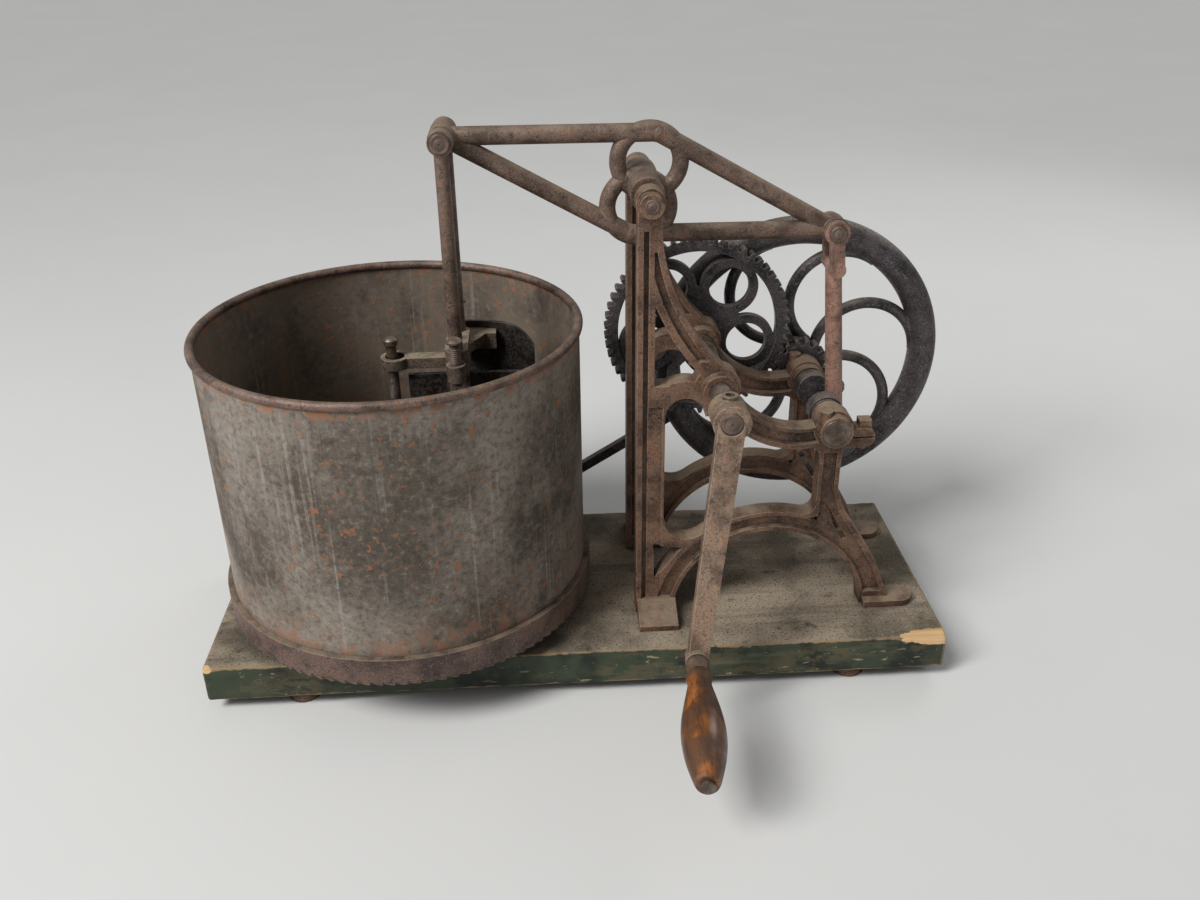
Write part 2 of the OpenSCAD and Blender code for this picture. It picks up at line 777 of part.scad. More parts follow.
cross_h = 22;
arm_h = 9;
eye_x = 2.5;
bolt_y = 32.5;
knife_x0 = 12;
knife_x1 = 116;
knife_top = cross_z - 7;
clamp_h = 24;
module crosshead() put() color("rosybrown") {
    x = knife_pin[0];
    difference() {
        union() {
            translate([x - 9, -rod_y, cross_z]) cube([18, 2 * rod_y, cross_h]);
            for (s = [-1, 1]) {
                translate([x, s * rod_y, cross_z]) cylinder(r = 9, h = cross_h);
                translate([x - 6, s > 0 ? rod_y : -bolt_y, cross_z]) cube([12, bolt_y - rod_y, 14]);
                translate([x, s * bolt_y, cross_z]) cylinder(r = 7.5, h = 14);
            }
            translate([eye_x, -6, cross_z]) cube([x - eye_x, 12, arm_h]);
            translate([eye_x, 0, cross_z]) cylinder(r = 11.5, h = arm_h);
            translate([x - 8, -8, cross_z - clamp_h]) cube([16, 16, clamp_h + 1]);
            intersection() {
                union() {
                    translate([0, 0, cross_z + 8]) linear_extrude(height = 8)
                        polygon([[x, 4], [x + 6, turner_y], [x + 30, turner_y], [x + 9, 4]]);
                    translate([x + 6, turner_y - 14, cross_z + 2]) cube([24, 14, 14]);
                }
                translate([x + 4, turner_y - turner_r, 0]) cylinder(r = turner_r, h = 400, $fn = 120);
            }
        }
        translate([eye_x, 0, cross_z - 1]) cylinder(r = post_r + 3.6, h = arm_h + 2);
        for (s = [-1, 1]) {
            translate([x, s * rod_y, cross_z + 4]) cylinder(r = rod_r, h = cross_h);
            translate([x, s * bolt_y, cross_z - 1]) cylinder(r = knife_bolt_r, h = 30);
        }
        translate([x - 60, -knife_t / 2, cross_z - clamp_h - 1])
            cube([120, knife_t, knife_top - cross_z + clamp_h + 1]);
    }
}

// Broad chopping knife with a bevelled edge, held in a slot under the crosshead
module knife_blade() put() color("gray") {
    difference() {
        translate([knife_x0, -knife_t / 2, edge_z]) cube([knife_x1 - knife_x0, knife_t, knife_top - edge_z]);
        for (s = [0, 1]) mirror([0, s, 0]) translate([0, 0.4, edge_z - 0.01]) rotate([90, 0, 90])
            linear_extrude(height = 300) polygon([[0, 0], [knife_t, 0], [knife_t, 16], [knife_t / 2, 16]]);
        translate([knife_x1, knife_t, knife_top]) rotate([90, 0, 0]) difference() {
            translate([-18, -18, 0]) cube([20, 20, 2 * knife_t]);
            translate([-18, -18, -1]) cylinder(r = 18, h = 2 * knife_t + 2);
        }
    }
}

// Curved plate that turns the food over behind the knife
turner_y = 40;
turner_r = 80;
turner_t = 3;
turner_z0 = edge_z + 20;
turner_z1 = cross_z + cross_h;
module turner_plate() put() color("dimgray") {
    x = knife_pin[0];
    intersection() {
        translate([x + 4, turner_y - turner_r, turner_z0]) difference() {
            cylinder(r = turner_r + turner_t, h = turner_z1 - turner_z0, $fn = 120);
            translate([0, 0, -1]) cylinder(r = turner_r, h = turner_z1 - turner_z0 + 2, $fn = 120);
        }
        translate([x + 4, 0, 0]) cube([turner_r * 0.72, 2 * turner_y, 2 * turner_z1]);
        slab(-60, 120) union() {
            box2d([x, edge_z], [x + 36, turner_z1]);
            box2d([x, edge_z], [x + 66, cross_z - 8]);
            translate([x + 36, cross_z - 8]) circle(r = 30);
        }
    }
}

// Round-headed bolts that clamp the crosshead at both ends
module knife_bolts() put() color("dimgray") {
    x = knife_pin[0];
    for (s = [-1, 1]) {
        rise = s < 0 ? 32 : 42;
        translate([x, s * bolt_y, cross_z - 4]) cylinder(r = knife_bolt_r, h = rise + 4);
        translate([x, s * bolt_y, cross_z + rise]) intersection() {
            cylinder(r = 6.5, h = 6);
            translate([0, 0, -3.5]) sphere(r = 8.2);
        }
    }
}

// Feed rod that pushes the drum round by its ratchet

// Slanting bar of the feed rod, grown by g on its sides
module feed_bar(g) {
    translate([nose[0], feed_y - g, nose[1]]) rotate([0, -feed_a, 0])
        translate([-8, 0, -feed_h / 2 - g]) cube([feed_l + 8, feed_w + 2 * g, feed_h + 2 * g]);
}

module feed_rod() put() color("dimgray") {
    difference() {
        union() {
            feed_bar(0);
            along_y(feed_pin, feed_y, feed_y + feed_w, 9);
        }
        cylinder(r = ring_r + 0.4, h = 200, $fn = 180);
        along_y(feed_pin, feed_y - 1, feed_y + feed_w + 1, feed_pin_r);
    }
}

module feed_pin_piece() put() color("dimgray") {
    along_y(feed_pin, feed_y, feed_y + feed_w + 1, feed_pin_r);
    along_y(feed_pin, feed_y + feed_w, feed_y + feed_w + 3, feed_pin_r + 2.5);
}

screw_x = [guide_x + 5, guide_x + guide_w - 5];
module feed_guide() put() color("dimgray") {
    top = nose[1] + (guide_x + guide_w - nose[0]) * tan(feed_a) + feed_h + 4;
    low = nose[1] + (guide_x - nose[0]) * tan(feed_a) - feed_h - 4;
    difference() {
        union() {
            translate([guide_x, board_y, -board_t + 4]) cube([guide_w, 5, board_t + top - 14]);
            translate([guide_x, board_y, low]) cube([guide_w, feed_y + feed_w + 5 - board_y, top - low]);
        }
        feed_bar(gap);
        for (x = screw_x) {
            translate([x, board_y - 1, -board_t / 2]) rotate([-90, 0, 0]) cylinder(r = guide_screw_r, h = 13);
        }
    }
}

module guide_screws() put() color("dimgray") {
    for (x = screw_x) translate([x, board_y, -board_t / 2]) rotate([-90, 0, 0]) {
        translate([0, 0, -12]) cylinder(r = guide_screw_r, h = 17);
        translate([0, 0, 5]) cylinder(r1 = guide_screw_r + 2, r2 = guide_screw_r + 1, h = 2);
    }
}

base_board();
board_feet();
thrust_pad();
centre_post();
front_frame();
rear_frame();
frame_bolts();
clamp_bolts();
pivot_shaft();
feed_guide();
guide_screws();
main_shaft();
drive_gear();
crank_arm();
crank_screw();
grip_spindle();
grip_ferrule();
wood_grip();
rear_throw();
front_throw();
drive_pinion();
flywheel();
feed_disc();
drum_wall();
drum_rim();
ratchet_ring();
drum_floor();
rocking_beam();
knife_hinge_pin();
pitman_hinge_pin();
pitman();
throw_pin_piece();
front_lift_rod();
rear_lift_rod();
crosshead();
knife_blade();
turner_plate();
knife_bolts();
feed_rod();
feed_pin_piece();
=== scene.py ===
import json
import math

import bpy
from mathutils import Matrix, Vector, noise


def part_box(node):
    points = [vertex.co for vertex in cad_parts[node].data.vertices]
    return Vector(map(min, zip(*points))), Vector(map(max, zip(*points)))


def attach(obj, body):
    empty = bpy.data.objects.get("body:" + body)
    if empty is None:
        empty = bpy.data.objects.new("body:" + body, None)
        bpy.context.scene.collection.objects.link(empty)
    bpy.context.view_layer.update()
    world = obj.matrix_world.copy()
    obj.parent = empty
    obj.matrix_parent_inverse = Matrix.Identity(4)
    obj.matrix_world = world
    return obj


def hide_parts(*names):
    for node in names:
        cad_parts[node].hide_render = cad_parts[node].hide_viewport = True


# Looks of a hand-cranked food chopper: worn cast iron, stained tin, painted wood and a varnished grip.
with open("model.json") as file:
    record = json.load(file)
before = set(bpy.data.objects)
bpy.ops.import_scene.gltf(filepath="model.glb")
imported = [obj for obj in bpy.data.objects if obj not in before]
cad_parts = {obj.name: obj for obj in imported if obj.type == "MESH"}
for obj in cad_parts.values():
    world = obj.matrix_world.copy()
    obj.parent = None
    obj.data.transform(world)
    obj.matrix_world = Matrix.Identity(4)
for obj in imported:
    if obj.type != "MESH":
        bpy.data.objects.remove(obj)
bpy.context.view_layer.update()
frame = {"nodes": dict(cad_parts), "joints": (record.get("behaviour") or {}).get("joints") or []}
NODES = frame["nodes"]
JOINTS = {j["name"]: Vector(j.get("pos_m", (0, 0, 0))) for j in frame["joints"]}
MM = 0.001


def srgb(r, g, b):
    """A colour as it is seen on a screen, 0 to 255, as the linear colour that shaders use."""
    linear = [(v / 255 / 12.92) if v < 10 else ((v / 255 + 0.055) / 1.055) ** 2.4 for v in (r, g, b)]
    return (*linear, 1.0)


def grey(value):
    """A plain value as a colour, for blends."""
    return (value, value, value, 1.0)


class Surface:
    """One material's node tree, with short calls for the nodes that the finishes share."""

    def __init__(self, name):
        self.material = bpy.data.materials.new(name)
        self.material.use_nodes = True
        self.tree = self.material.node_tree
        self.shader = self.tree.nodes["Principled BSDF"]
        self.place = self.node("ShaderNodeTexCoord").outputs["Object"]
        self.normal = self.node("ShaderNodeNewGeometry").outputs["Normal"]

    def node(self, kind, inputs=None, **settings):
        made = self.tree.nodes.new(kind)
        for key, value in settings.items():
            setattr(made, key, value)
        for key, value in (inputs or {}).items():
            self.feed(made.inputs[key], value)
        return made

    def feed(self, socket, value):
        if isinstance(value, bpy.types.NodeSocket):
            self.tree.links.new(value, socket)
        else:
            socket.default_value = value

    def noise(self, scale, detail=4, stretch=(1, 1, 1), place=None, rough=0.55):
        at = self.node("ShaderNodeMapping", {"Vector": place or self.place, "Scale": stretch})
        made = self.node("ShaderNodeTexNoise", {"Vector": at.outputs[0], "Scale": scale,
                                                "Detail": detail, "Roughness": rough})
        return made.outputs["Fac"]

    def math(self, kind, a, b=0.0):
        return self.node("ShaderNodeMath", {0: a, 1: b}, operation=kind).outputs[0]

    def times(self, *values):
        total = values[0]
        for value in values[1:]:
            total = self.math("MULTIPLY", total, value)
        return total

    def most(self, a, b):
        return self.math("MAXIMUM", a, b)

    def steps(self, value, low, high):
        """0 below low, 1 above high, smooth between; low above high turns it round."""
        made = self.node("ShaderNodeMapRange", {"Value": value, "From Min": low, "From Max": high},
                         interpolation_type="SMOOTHSTEP")
        return made.outputs[0]

    def blend(self, a, b, share):
        made = self.node("ShaderNodeMix", {0: share, 6: a, 7: b}, data_type="RGBA")
        return made.outputs[2]

    def axis(self, vector, name):
        return self.node("ShaderNodeSeparateXYZ", {0: vector}).outputs[name]

    def up(self):
        return self.steps(self.axis(self.normal, "Z"), 0.35, 0.9)

    def edges(self, width):
        """1 on sharp corners, from the difference between the rounded and the true normal."""
        soft = self.node("ShaderNodeBevel", {"Radius": width}, samples=6).outputs[0]
        same = self.node("ShaderNodeVectorMath", {0: soft, 1: self.normal}, operation="DOT_PRODUCT")
        return self.steps(same.outputs["Value"], 0.985, 0.8)

    def painted_corner_shade(self, reach):
        """1 deep in corners, where painted shade goes."""
        shade = self.node("ShaderNodeAmbientOcclusion", {"Distance": reach}, samples=6)
        return self.steps(shade.outputs["AO"], 0.75, 0.2)

    def around(self, centre, radius=150 * MM):
        """Coordinates unrolled round an upright axis: arc at a radius, distance from the axis, height."""
        off = self.node("ShaderNodeVectorMath", {0: self.place, 1: (-centre.x, -centre.y, 0)},
                        operation="ADD")
        x, y, z = (self.axis(off.outputs[0], k) for k in "XYZ")
        turn = self.times(self.math("ARCTAN2", y, x), radius)
        reach = self.math("SQRT", self.math("ADD", self.times(x, x), self.times(y, y)))
        joined = self.node("ShaderNodeCombineXYZ", {0: turn, 1: reach, 2: z}).outputs[0]
        return joined, reach, z

    def finish(self, colour, roughness, heights, metallic=0.0, rounding=0.0, coat=0.0):
        """Links the shader. heights holds (value, depth in metres) pairs, coarse first."""
        self.feed(self.shader.inputs["Base Color"], colour)
        self.feed(self.shader.inputs["Roughness"], roughness)
        self.feed(self.shader.inputs["Metallic"], metallic)
        self.shader.inputs["Coat Weight"].default_value = coat
        self.shader.inputs["Coat Roughness"].default_value = 0.25
        turned = None
        if rounding:
            turned = self.node("ShaderNodeBevel", {"Radius": rounding}, samples=6).outputs[0]
        for value, depth in heights:
            made = self.node("ShaderNodeBump", {"Height": value, "Distance": depth, "Strength": 1.0})
            if turned is not None:
                self.feed(made.inputs["Normal"], turned)
            turned = made.outputs[0]
        self.feed(self.shader.inputs["Normal"], turned)
        return self.material


# Finishes

DUST = srgb(158, 143, 120)
# Near black: soot in the grain and specks of the iron, and the colour of painted shade in corners.
SOOT_AND_SHADE = srgb(32, 27, 25)


def casting(name, shade, body, rust, settle, dull=0.5, metal=0.3, worn=srgb(164, 140, 122), flecks=0.5):
    """Rough cast iron: rust, pale flecks, rubbed edges, painted shade in corners and settled dust on what
    faces up.
    """
    s = Surface(name)
    patch = s.noise(42, 6)
    grain = s.noise(210, 5, rough=0.65)
    speck = s.noise(760, 3, rough=0.7)
    colour = s.blend(shade, body, s.steps(patch, 0.34, 0.56))
    colour = s.blend(colour, rust, s.times(s.steps(grain, 0.5, 0.66), s.steps(patch, 0.34, 0.6)))
    colour = s.blend(colour, SOOT_AND_SHADE, s.times(s.steps(grain, 0.48, 0.3), 0.65))
    colour = s.blend(colour, SOOT_AND_SHADE, s.times(s.steps(speck, 0.52, 0.64), 0.55))
    colour = s.blend(colour, SOOT_AND_SHADE, s.times(s.steps(s.noise(24, 6, rough=0.62), 0.5, 0.66), 0.4))
    colour = s.blend(colour, worn, s.times(s.steps(speck, 0.45, 0.36), s.steps(grain, 0.6, 0.4), flecks))
    colour = s.blend(colour, worn, s.times(s.edges(1.6 * MM), s.steps(grain, 0.34, 0.56), 0.8))
    # Painted shade: corners darkened towards near black.
    colour = s.blend(colour, SOOT_AND_SHADE, s.times(s.painted_corner_shade(20 * MM), 0.8))
    dust = s.times(s.up(), s.steps(s.noise(60, 6), 0.28, 0.62), settle)
    colour = s.blend(colour, DUST, dust)
    roughness = s.blend(grey(dull), grey(0.95), s.most(dust, s.steps(grain, 0.5, 0.7)))
    heights = [(grain, 0.7 * MM), (speck, 0.3 * MM)]
    return s.finish(colour, roughness, heights, metallic=metal, rounding=1.1 * MM)


def steel(name, dark, bright, stain, dull=0.38, metal=0.75):
    """Turned or forged steel, worn bright in places and stained brown in others, with painted shade in
    corners.
    """
    s = Surface(name)
    patch = s.noise(45, 5)
    grain = s.noise(420, 4)
    colour = s.blend(dark, bright, s.steps(patch, 0.38, 0.66))
    colour = s.blend(colour, stain, s.times(s.steps(grain, 0.5, 0.66), s.steps(patch, 0.62, 0.4)))
    # Painted shade in corners.
    colour = s.blend(colour, SOOT_AND_SHADE, s.times(s.painted_corner_shade(6 * MM), 0.6))
    dust = s.times(s.up(), s.steps(s.noise(90, 5), 0.4, 0.7), 0.45)
    colour = s.blend(colour, DUST, dust)
    roughness = s.blend(grey(dull), grey(0.85), s.steps(grain, 0.4, 0.7))
    return s.finish(colour, roughness, [(grain, 0.12 * MM)], metallic=metal, rounding=0.6 * MM)


def tin(name):
    """Tinned sheet of the drum: warm grey with runs, scratches and rust freckles, browner inside with a tint
    made light as painted light falling into the drum, and painted shade in corners.
    """
    s = Surface(name)
    low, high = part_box("drum_wall")
    radius = (high.x - low.x) / 2
    sheet, reach, height = s.around(JOINTS["drum_spin"])
    cloud = s.noise(11, 7, (1, 1, 0.8), sheet)
    runs = s.noise(46, 6, (1, 1, 0.06), sheet, 0.62)
    lines = s.noise(300, 3, (1, 1, 0.02), sheet)
    grain = s.noise(170, 9, place=sheet, rough=0.78)
    colour = s.blend(srgb(92, 83, 73), srgb(137, 127, 116), s.steps(cloud, 0.36, 0.62))
    colour = s.blend(colour, srgb(88, 78, 68), s.times(s.steps(runs, 0.5, 0.72), 0.5))
    scratch = s.times(s.steps(lines, 0.56, 0.66), s.steps(runs, 0.55, 0.4), 0.6)
    colour = s.blend(colour, srgb(158, 151, 143), scratch)
    colour = s.blend(colour, srgb(62, 54, 47), s.times(s.steps(grain, 0.47, 0.62), 0.6))
    colour = s.blend(colour, srgb(170, 160, 148), s.times(s.steps(grain, 0.46, 0.36), 0.4))
    stain = s.times(s.steps(s.noise(30, 6, place=sheet), 0.6, 0.68), 0.5)
    colour = s.blend(colour, srgb(66, 56, 48), stain)
    # Inside: a brown stain, partly painted light, its tone raised to stand in for the light falling into the
    # drum.
    inside = s.steps(reach, radius - 0.7 * MM, radius - 1.1 * MM)
    brown = s.steps(s.noise(20, 5, place=sheet), 0.3, 0.6)
    colour = s.blend(colour, srgb(126, 112, 97), s.times(inside, brown, 0.7))
    # Rust: freckles in clusters, a line under the rim and a brown band over the ring
    under = s.times(s.steps(height, high.z - 13 * MM, high.z - 5 * MM),
                    s.steps(s.noise(80, 6, place=sheet), 0.46, 0.62))
    over = s.times(s.steps(height, low.z + 60 * MM, low.z + 16 * MM),
                   s.steps(s.noise(70, 8, place=sheet, rough=0.68), 0.46, 0.62), 0.75)
    freckle = s.times(s.steps(s.noise(150, 5, place=sheet, rough=0.62), 0.57, 0.64),
                      s.steps(s.noise(20, 3, place=sheet), 0.38, 0.58))
    spots = s.steps(s.noise(64, 4, place=sheet), 0.68, 0.72)
    rust = s.most(s.most(freckle, spots), s.most(under, over))
    red = s.blend(srgb(116, 78, 52), srgb(160, 100, 62), s.steps(grain, 0.38, 0.62))
    colour = s.blend(colour, red, s.times(rust, 0.8))
    # Painted shade in corners and where parts meet the tin.
    colour = s.blend(colour, srgb(62, 48, 38), s.times(s.painted_corner_shade(10 * MM), 0.5))
    roughness = s.blend(grey(0.46), grey(0.9), s.most(rust, s.steps(cloud, 0.62, 0.4)))
    metal = s.times(s.steps(rust, 0.5, 0.0), 0.3)
    dents = s.noise(7, 2, place=sheet)
    heights = [(dents, 2.2 * MM), (grain, 0.1 * MM), (rust, 0.15 * MM)]
    return s.finish(colour, roughness, heights, metallic=metal)


def board_paint(name):
    """Dark green painted board: dusty and scuffed on top, chipped to bare wood along its edges, with painted
    shade in corners and under the parts on it.
    """
    s = Surface(name)
    fibre = s.noise(55, 6, (0.07, 1.0, 1.0))
    pore = s.noise(420, 3, (0.05, 1.0, 1.0))
    scuff = s.noise(30, 6)
    ragged = s.noise(130, 7, (0.5, 1.0, 1.0), rough=0.7)
    wear = s.node("ShaderNodeAttribute", attribute_name="wear").outputs["Fac"]
    edge = s.node("ShaderNodeAttribute", attribute_name="edge").outputs["Fac"]
    patchy = s.noise(14, 7, (0.6, 1.0, 1.0), rough=0.65)
    nick = s.noise(240, 4, (0.35, 1.0, 1.0), rough=0.6)
    paint = s.blend(srgb(20, 28, 19), srgb(50, 60, 43), s.steps(scuff, 0.38, 0.58))
    rubbed = s.times(s.steps(fibre, 0.58, 0.7), s.steps(scuff, 0.4, 0.6), 0.5)
    paint = s.blend(paint, srgb(104, 104, 86), rubbed)
    thin = s.times(s.steps(patchy, 0.5, 0.62), s.steps(ragged, 0.42, 0.56), 0.55)
    paint = s.blend(paint, srgb(98, 86, 60), thin)
    nicked = s.times(s.steps(nick, 0.62, 0.68), s.steps(patchy, 0.4, 0.56), 0.8)
    paint = s.blend(paint, srgb(156, 146, 118), nicked)
    grime = s.blend(srgb(88, 79, 66), srgb(150, 136, 117), s.steps(s.noise(16, 7), 0.34, 0.6))
    grime = s.blend(grime, srgb(80, 74, 62), s.times(s.steps(fibre, 0.5, 0.66), 0.5))
    dots = s.noise(520, 4, rough=0.68)
    grime = s.blend(grime, srgb(58, 51, 41), s.times(s.steps(dots, 0.53, 0.64), 0.85))
    grime = s.blend(grime, srgb(172, 152, 122), s.times(s.steps(dots, 0.42, 0.32), 0.5))
    top = s.times(s.up(), s.steps(s.noise(70, 6), 0.24, 0.42))
    colour = s.blend(paint, grime, top)
    bare = s.blend(srgb(158, 122, 82), srgb(212, 175, 128), s.steps(fibre, 0.4, 0.6))
    torn = s.steps(s.math("ADD", wear, s.times(ragged, 1.3)), 1.0, 1.08)
    chipped = s.times(torn, s.steps(wear, 0.04, 0.1))
    rub = s.steps(s.math("ADD", edge, s.times(ragged, 0.9)), 1.36, 1.46)
    colour = s.blend(colour, srgb(140, 118, 86), s.times(rub, 0.85))
    colour = s.blend(colour, bare, chipped)
    # Painted shade in corners and under the parts that stand on the board.
    colour = s.blend(colour, srgb(40, 36, 30), s.times(s.painted_corner_shade(25 * MM), 0.5))
    heights = [(fibre, 0.35 * MM), (pore, 0.2 * MM), (dots, 0.2 * MM)]
    return s.finish(colour, s.steps(top, -1.2, 0.6), heights, rounding=1.2 * MM)


def wood(name, pale, deep, line, along, coat=0.0, dirt=0.5):
    """Bare or varnished wood with its grain along one axis, 0, 1 or 2, darkened by its share of dirt, and
    with painted shade in corners.
    """
    s = Surface(name)
    stretch = [1.0, 1.0, 1.0]
    stretch[along] = 0.08
    figure = s.noise(90, 6, stretch, rough=0.62)
    pore = s.noise(620, 3, stretch)
    worn = s.noise(34, 6)
    colour = s.blend(deep, pale, s.steps(figure, 0.36, 0.62))
    colour = s.blend(colour, line, s.times(s.steps(pore, 0.52, 0.66), 0.7))
    colour = s.blend(colour, srgb(58, 40, 27), s.times(s.steps(worn, 0.4, 0.56), dirt))
    # Painted shade in corners.
    colour = s.blend(colour, srgb(40, 27, 18), s.times(s.painted_corner_shade(9 * MM), 0.7))
    roughness = s.blend(grey(0.32), grey(0.75), s.steps(worn, 0.4, 0.65))
    return s.finish(colour, roughness, [(figure, 0.18 * MM), (pore, 0.14 * MM)], coat=coat)


FINISHES = {
    "frame_iron": casting("frame_iron", srgb(86, 63, 51), srgb(127, 99, 82), srgb(142, 99, 68), settle=0.6,
                          worn=srgb(176, 143, 114)),
    "beam_iron": casting("beam_iron", srgb(84, 66, 56), srgb(121, 101, 89), srgb(134, 98, 74), settle=0.42),
    "crank_iron": casting("crank_iron", srgb(108, 88, 73), srgb(158, 133, 113), srgb(150, 110, 80),
                          settle=0.4, metal=0.25, worn=srgb(178, 158, 142)),
    "dusty_iron": casting("dusty_iron", srgb(66, 57, 50), srgb(106, 93, 81), srgb(122, 94, 72), settle=0.85),
    "wheel_iron": casting("wheel_iron", srgb(52, 48, 50), srgb(92, 86, 89), srgb(98, 80, 74), settle=0.4,
                          dull=0.42, metal=0.4, worn=srgb(160, 152, 152), flecks=0.7),
    "ring_iron": casting("ring_iron", srgb(76, 59, 53), srgb(106, 86, 79), srgb(128, 88, 64), settle=0.5),
    "rim_iron": casting("rim_iron", srgb(72, 54, 47), srgb(114, 93, 84), srgb(140, 98, 72), settle=0.25,
                        dull=0.45),
    "red_iron": casting("red_iron", srgb(118, 86, 74), srgb(168, 130, 113), srgb(158, 108, 84), settle=0.35,
                        dull=0.45, metal=0.2),
    "shaft_steel": steel("shaft_steel", srgb(84, 74, 66), srgb(136, 126, 118), srgb(110, 78, 54)),
    "pin_steel": steel("pin_steel", srgb(84, 70, 63), srgb(128, 111, 102), srgb(112, 80, 60), dull=0.5,
                       metal=0.4),
    "blade_steel": steel("blade_steel", srgb(54, 50, 47), srgb(98, 93, 88), srgb(84, 62, 46), dull=0.36,
                         metal=0.8),
    "drum_tin": tin("drum_tin"),
    "board_paint": board_paint("board_paint"),
    "grip_wood": wood("grip_wood", srgb(164, 100, 46), srgb(96, 58, 29), srgb(58, 36, 21), along=1, coat=0.3,
                      dirt=0.8),
    "floor_wood": wood("floor_wood", srgb(150, 122, 90), srgb(110, 84, 58), srgb(76, 58, 42), along=0),
}

WORN_BY = {
    "frame_iron": ["front_frame", "rear_frame", "board_feet", "clamp_bolts"],
    "beam_iron": ["rocking_beam", "front_lift_rod", "rear_lift_rod"],
    "crank_iron": ["crank_arm"],
    "dusty_iron": ["crosshead", "feed_guide", "thrust_pad"],
    "wheel_iron": ["drive_gear", "drive_pinion", "flywheel", "feed_disc", "rear_throw", "front_throw",
                   "feed_rod"],
    "ring_iron": ["ratchet_ring"],
    "rim_iron": ["drum_rim", "grip_ferrule"],
    "red_iron": ["pitman"],
    "shaft_steel": ["main_shaft", "pivot_shaft", "centre_post", "grip_spindle", "throw_pin_piece"],
    "pin_steel": ["knife_hinge_pin", "pitman_hinge_pin", "knife_bolts", "crank_screw", "frame_bolts",
                  "guide_screws", "feed_pin_piece"],
    "blade_steel": ["knife_blade", "turner_plate"],
    "drum_tin": ["drum_wall"],
    "board_paint": ["base_board"],
    "grip_wood": ["wood_grip"],
    "floor_wood": ["drum_floor"],
}
for finish, names in WORN_BY.items():
    for name in names:
        NODES[name].data.materials.clear()
        NODES[name].data.materials.append(FINISHES[finish])


# Pieces

def shape(name, points, faces, finish, body, slot, smooth=True):
    """A mesh that rides on a body and takes one finish."""
    mesh = bpy.data.meshes.new(name)
    mesh.from_pydata([tuple(p) for p in points], [], faces)
    mesh.validate()
    mesh.update()
    for face in mesh.polygons:
        face.use_smooth = smooth
    made = bpy.data.objects.new(name, mesh)
    bpy.context.scene.collection.objects.link(made)
    mesh.materials.append(FINISHES[finish])
    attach(made, body)
    return made


def bridged(rings):
    """Quads between rings of equal length, with the first and last ring capped."""
    count = len(rings[0])
    faces = []
    for start in range(0, (len(rings) - 1) * count, count):
        for i in range(count):
            after = (i + 1) % count
            faces.append((start + i, start + after, start + count + after, start + count + i))
    last = (len(rings) - 1) * count
    faces.append(tuple(reversed(range(count))))
    faces.append(tuple(last + i for i in range(count)))
    return [p for ring in rings for p in ring], faces


def lathe(name, at, axis, profile, finish, body, slot, turns=48):
    """A turned piece: profile holds (radius, height) pairs in metres along the axis from a point."""
    facing = Vector(axis).to_track_quat("Z", "Y").to_matrix()
    rings = [[Vector(at) + facing @ Vector((r * math.cos(t), r * math.sin(t), h))
              for t in (2 * math.pi * i / turns for i in range(turns))] for r, h in profile]
    return shape(name, *bridged(rings), finish, body, slot)


def shaft_end(name, at, radius, axis, body, finish="pin_steel"):
    """Turned end of a shaft: a rim, a groove and a centre mark, a little proud of its face."""
    marks = [(1.0, -0.3), (1.0, 0.3), (0.94, 0.6), (0.72, 0.6), (0.66, 0.25), (0.6, 0.6),
             (0.24, 0.7), (0.17, 0.9), (0.11, 0.9), (0.05, 0.3)]
    return lathe(name, at, axis, [(radius * r, h * MM) for r, h in marks], finish, body, "worn_steel")


FRONT = Vector((0, -1, 0))
REAR = Vector((0, 1, 0))


def face_of(node, joint, side):
    """Point on a joint's axis at a node's front or rear face."""
    low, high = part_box(node)
    point = JOINTS[joint].copy()
    point.y = low.y if side is FRONT else high.y
    return point


